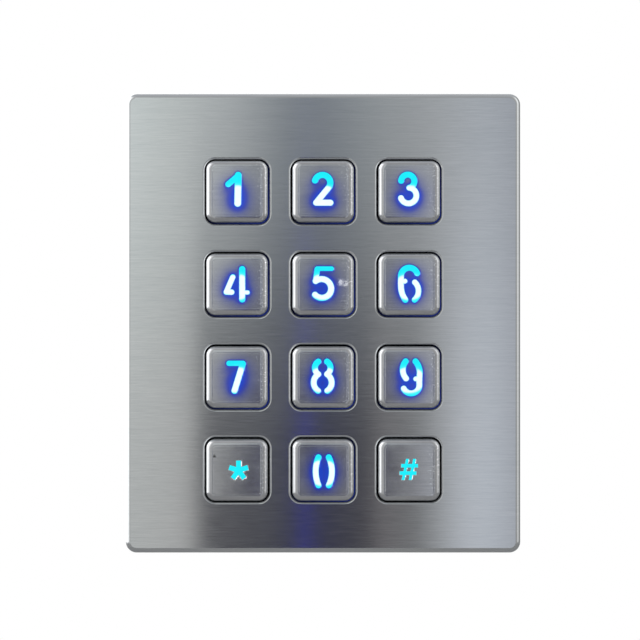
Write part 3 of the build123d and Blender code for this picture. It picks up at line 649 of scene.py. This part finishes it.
def threaded_stud(x, z, low, high, shape):
    """One stud: a weld collar, a short plain shank, then the thread up to a coned tip."""
    foot = low + WELD_HEIGHT
    count = int((high - foot) / (THREAD_PITCH / THREAD_ROWS))
    collar = [(low, WELD_RADIUS), (low + WELD_HEIGHT * WELD_SHOULDER, WELD_RADIUS * WELD_TAPER)]
    collar += [(foot, STUD_RADIUS)]
    levels = [foot + (high - foot) * i / count for i in range(1, count + 1)]
    made = [[(radius, y)] * THREAD_SIDES for y, radius in collar]
    for y in levels:
        ring = []
        start = min(1.0, max(0.0, (y - foot - PLAIN_SHANK) / THREAD_PITCH))
        cone = max(0.0, TIP_CONE - (high - y))
        for side in range(THREAD_SIDES):
            crest = thread_profile(y / THREAD_PITCH - side / THREAD_SIDES)
            cut = THREAD_DEPTH * (1 - crest) * start
            ring.append((STUD_RADIUS - max(cut, cone), y))
        made.append(ring)
    loops = []
    for ring in made:
        loop = []
        for side, (reach, y) in enumerate(ring):
            turn = 2 * math.pi * side / THREAD_SIDES
            loop.append(shape.verts.new((x + reach * math.cos(turn), y, z + reach * math.sin(turn))))
        loops.append(loop)
    for first, second in zip(loops, loops[1:]):
        for side in range(THREAD_SIDES):
            after = (side + 1) % THREAD_SIDES
            shape.faces.new((first[side], first[after], second[after], second[side]))
    shape.faces.new(loops[0][::-1])
    shape.faces.new(loops[-1])


def make_studs(steel):
    """The four wall studs, threaded."""
    low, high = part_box("mounting_studs")
    shape = bmesh.new()
    for x in (low.x + WELD_RADIUS, high.x - WELD_RADIUS):
        for z in (low.z + WELD_RADIUS, high.z - WELD_RADIUS):
            threaded_stud(x, z, low.y, high.y, shape)
    bmesh.ops.recalc_face_normals(shape, faces=shape.faces)
    mesh = bpy.data.meshes.new("threaded_studs")
    shape.to_mesh(mesh)
    shape.free()
    piece = placed("threaded_studs", mesh)
    smooth(piece, angle=50.0)
    coat(piece, steel)
    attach(piece, ROOT)
    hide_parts("mounting_studs")


# ---- the keymat: a sheet, and a dome at each key


# a dome's radius where it meets the sheet, a little wide to take in all its points
DOME_FOOT = 5.62 * MM
SHEET = "sheet"


def over_dome(part, centre):
    """Whether a face or an edge lies wholly over the dome round a centre."""
    away = (math.hypot(v.co.x - centre.x, v.co.z - centre.z) for v in part.verts)
    return all(distance < DOME_FOOT for distance in away)


def make_keymat(silicone):
    """Split the keymat into its sheet and twelve domes, each closed where they were one."""
    centres = {name: middle(f"key_cap_{name}") for name in KEYS}
    for name in [SHEET] + KEYS:
        label = "keymat_sheet" if name == SHEET else f"keymat_dome_{name}"
        piece, shape = welded_copy("keymat", label)
        if name == SHEET:
            gone = [f for f in shape.faces if any(over_dome(f, c) for c in centres.values())]
        else:
            gone = [f for f in shape.faces if not over_dome(f, centres[name])]
        bmesh.ops.delete(shape, geom=gone, context="FACES")
        for centre in centres.values():
            rim = [e for e in shape.edges if e.is_boundary and over_dome(e, centre)]
            if rim:
                bmesh.ops.bridge_loops(shape, edges=rim)
        bmesh.ops.triangulate(shape, faces=[f for f in shape.faces if len(f.verts) > 4])
        bmesh.ops.recalc_face_normals(shape, faces=shape.faces)
        shape.to_mesh(piece.data)
        shape.free()
        smooth(piece)
        coat(piece, silicone)
        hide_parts("keymat")
        if name == SHEET:
            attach(piece, ROOT)
        else:
            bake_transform(piece)


# ---- finishes of the CAD nodes that stay


def dress_nodes():
    """Every CAD node that isn't replaced gets its own detailed finish."""
    gasket = rubber("gasket_rubber", (0.020, 0.020, 0.021), (0.045, 0.045, 0.046))
    chip = plastic(
        "chip_epoxy", (0.018, 0.018, 0.020), (0.035, 0.035, 0.037), grain_scale=4200.0
    )
    screw = metal("screw_steel", (0.42, 0.42, 0.43), (0.62, 0.62, 0.63))
    finishes = {
        "front_panel": brushed_steel(),
        "panel_gasket": gasket,
        "cover_seal": gasket,
        "panel_standoffs": metal("post_brass", (0.58, 0.44, 0.20), (0.78, 0.62, 0.32)),
        "guide_frame": plastic("frame_plastic", (0.012, 0.012, 0.014), (0.028, 0.028, 0.030)),
        "circuit_board": board_laminate(),
        "contact_pads": metal("contact_gold", (0.75, 0.55, 0.22), (0.90, 0.70, 0.35)),
        "backlight_leds": lamp_package(),
        "led_resistors": plastic(
            "resistor_ceramic", (0.02, 0.02, 0.022), (0.05, 0.05, 0.052), grain_scale=5200.0
        ),
        "controller_chip": chip,
        "voltage_regulator": chip,
        "crystal": metal("crystal_can", (0.62, 0.62, 0.61), (0.80, 0.80, 0.79)),
        "filter_capacitors": metal("capacitor_can", (0.66, 0.67, 0.69), (0.82, 0.83, 0.85)),
        "buzzer": plastic("buzzer_plastic", (0.014, 0.014, 0.016), (0.03, 0.03, 0.032)),
        "connector_header": plastic(
            "header_nylon", (0.70, 0.67, 0.58), (0.80, 0.77, 0.68), grain_scale=3000.0
        ),
        "header_pins": metal("pin_tin", (0.66, 0.65, 0.62), (0.84, 0.83, 0.80)),
        "back_cover": plastic(
            "cover_plastic",
            (0.028, 0.028, 0.030),
            (0.055, 0.055, 0.057),
            grain_scale=1700.0,
            relief=0.06 * MM,
        ),
        "board_screws": screw,
        "cover_screws": screw,
    }
    carbon = rubber("contact_carbon", (0.012, 0.012, 0.013), (0.03, 0.03, 0.032))
    for name in KEYS:
        finishes[f"contact_ring_{name}"] = carbon
    for node, material in finishes.items():
        coat(NODES[node], material)


# ---- studio


CAMERA_DISTANCE = 0.45
CAMERA_OFFSET = (-0.66 * MM, 0.69 * MM)
VIEW_WIDTH = 139.2 * MM
SENSOR_WIDTH = 36.0
NEAR_CLIP = 0.01

# how far the floor lies below the panel and reaches to each side
WALL_HEIGHT = 1.2
FLOOR_REACH = 6.0
FLOOR_GREY = (0.28, 0.28, 0.28, 1.0)
WHITE = (1.0, 1.0, 1.0, 1.0)

# half the width of the panel that the front tables cover, in millimetres
MIRROR_SPAN = 48.0

# what the panel mirrors in its lower part: a place across the panel in millimetres, and a colour
LOW_FRONT = (
    (-48, (0.76, 0.77, 0.76)),
    (-33, (0.68, 0.68, 0.67)),
    (-28.0, (0.64, 0.63, 0.62)),
    (-25.8, (0.10, 0.095, 0.11)),
    (-10, (0.07, 0.07, 0.09)),
    (-4.2, (0.02, 0.02, 0.07)),
    (-3.3, (0.02, 0.02, 0.85)),
    (-2.4, (0.02, 0.02, 0.07)),
    (10.5, (0.06, 0.056, 0.07)),
    (12.5, (0.20, 0.18, 0.19)),
    (21, (0.24, 0.24, 0.25)),
    (26, (0.52, 0.53, 0.55)),
    (32, (0.80, 0.83, 0.90)),
    (37, (0.80, 0.84, 0.92)),
    (44, (0.58, 0.60, 0.66)),
)

# the same for its upper part
HIGH_FRONT = (
    (-48, (1.08, 1.14, 1.13)),
    (-33, (0.84, 0.88, 0.87)),
    (-20, (0.70, 0.73, 0.74)),
    (-7, (0.38, 0.41, 0.44)),
    (0, (0.35, 0.38, 0.42)),
    (12, (0.50, 0.53, 0.55)),
    (25, (0.58, 0.60, 0.62)),
    (36, (0.62, 0.65, 0.70)),
    (46, (0.50, 0.52, 0.58)),
)

# brightness below and above the reader: a direction from 0, straight behind, by way of its left side
# at 0.25, its front at 0.5 and its right side at 0.75, to 1, behind again
UNDER = (
    (0.0, 0.9),
    (0.12, 1.4),
    (0.25, 2.0),
    (0.36, 1.1),
    (0.46, 0.45),
    (0.50, 0.12),
    (0.56, 0.30),
    (0.66, 0.45),
    (0.77, 0.25),
    (0.88, 0.15),
    (1.0, 0.9),
)

OVER = (
    (0.0, 1.6),
    (0.12, 3.0),
    (0.20, 3.6),
    (0.26, 3.2),
    (0.32, 3.0),
    (0.38, 1.8),
    (0.45, 0.75),
    (0.50, 0.45),
    (0.54, 0.55),
    (0.60, 0.75),
    (0.66, 1.7),
    (0.72, 0.85),
    (0.82, 0.25),
    (1.0, 1.6),
)

CEILING = (0.62, 0.63, 0.66)

# heights of a direction, from -1 straight down to 1 straight up, over which one thing becomes another
LOW_TO_HIGH_FRONT = (-0.07, 0.11)
UNDER_TO_OVER = (-0.55, 0.30)
FRONT_TO_ROOM = (0.25, 0.55)
ROOM_TO_CEILING = (0.60, 0.90)

# how far past the front tables the room has taken over, as a share of their reach
FRONT_SIDES = 1.5


def make_floor():
    """A plain pale floor, as far below the panel as a wall's foot; the camera sees it white."""
    mesh = bpy.data.meshes.new("floor")
    level = CAD_BOX[0].z - WALL_HEIGHT
    sides = ((-1, -1), (1, -1), (1, 1), (-1, 1))
    corners = [(x * FLOOR_REACH, y * FLOOR_REACH, level) for x, y in sides]
    mesh.from_pydata(corners, [], [(0, 1, 2, 3)])
    floor = placed("floor", mesh)
    paint = Paint("floor_white", Roughness=0.8, Base_Color=FLOOR_GREY)
    paths = paint.add("ShaderNodeLightPath")
    white = paint.add("ShaderNodeEmission")
    white.inputs["Strength"].default_value = 1.0
    mix = paint.add("ShaderNodeMixShader")
    paint.join(paths.outputs["Is Camera Ray"], mix.inputs[0])
    paint.join(paint.shader.outputs["BSDF"], mix.inputs[1])
    paint.join(white.outputs["Emission"], mix.inputs[2])
    paint.join(mix.outputs["Shader"], paint.tree.nodes["Material Output"].inputs["Surface"])
    coat(floor, paint.material)


def front_ramp(world, across, stops):
    """What the panel mirrors from side to side; each stop is a place on it in mm and a colour."""
    places = [(0.5 + place / (2 * MIRROR_SPAN), colour) for place, colour in stops]
    return world.ramp(across, *places)


def make_light():
    """A soft room with a dim middle in front, which the panel mirrors; the camera sees it white."""
    studio = bpy.data.worlds.new("studio")
    bpy.context.scene.world = studio
    studio.use_nodes = True
    world = Nodes(studio.node_tree, "Background")
    place = world.add("ShaderNodeTexCoord")
    parts = world.add("ShaderNodeSeparateXYZ")
    world.join(place.outputs["Generated"], parts.inputs["Vector"])
    x, y, z = (parts.outputs[axis] for axis in "XYZ")
    side = world.math("ARCTAN2", x, world.math("MULTIPLY", y, -1.0))
    reach = MIRROR_SPAN * MM / CAMERA_DISTANCE
    across = world.span(side, -reach, reach)
    low = front_ramp(world, across, LOW_FRONT)
    high = front_ramp(world, across, HIGH_FRONT)
    rise = world.span(z, *LOW_TO_HIGH_FRONT, "SMOOTHSTEP")
    front = world.blend("MIX", rise, low, high)
    turn = world.span(side, -math.pi, math.pi)
    under = world.ramp(turn, *UNDER)
    over = world.ramp(turn, *OVER)
    room = world.blend("MIX", world.span(z, *UNDER_TO_OVER, "SMOOTHSTEP"), under, over)
    ceiling = world.span(z, *ROOM_TO_CEILING, "SMOOTHSTEP")
    room = world.blend("MIX", ceiling, room, CEILING)
    width = world.math("ABSOLUTE", side, 0.0)
    beside = world.span(width, reach, FRONT_SIDES * reach, "SMOOTHSTEP")
    above = world.span(z, *FRONT_TO_ROOM, "SMOOTHSTEP")
    outside = world.math("MAXIMUM", beside, above)
    world.join(world.blend("MIX", outside, front, room), world.shader.inputs["Color"])
    seen = world.add("ShaderNodeBackground")
    seen.inputs["Color"].default_value = WHITE
    paths = world.add("ShaderNodeLightPath")
    mix = world.add("ShaderNodeMixShader")
    world.join(paths.outputs["Is Camera Ray"], mix.inputs[0])
    world.join(world.shader.outputs[0], mix.inputs[1])
    world.join(seen.outputs[0], mix.inputs[2])
    world.join(mix.outputs[0], world.tree.nodes["World Output"].inputs["Surface"])


def make_camera():
    """The camera straight in front of the panel."""
    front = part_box("front_panel")[0].y
    camera = bpy.data.cameras.new("camera")
    camera.sensor_width = SENSOR_WIDTH
    camera.lens = SENSOR_WIDTH * CAMERA_DISTANCE / VIEW_WIDTH
    camera.clip_start = NEAR_CLIP
    eye = placed("camera", camera)
    eye.location = (CAMERA_OFFSET[0], front - CAMERA_DISTANCE, CAMERA_OFFSET[1])
    eye.rotation_euler = (math.pi / 2, 0.0, 0.0)
    bpy.context.scene.camera = eye
    bpy.context.scene.view_settings.view_transform = "Standard"


make_camera()
make_floor()
make_light()
dress_nodes()
make_keys()
make_studs(metal("stud_steel", (0.50, 0.50, 0.48), (0.68, 0.68, 0.65)))
make_keymat(rubber("keymat_silicone", (0.50, 0.55, 0.60), (0.62, 0.66, 0.70), (0.35, 0.5)))
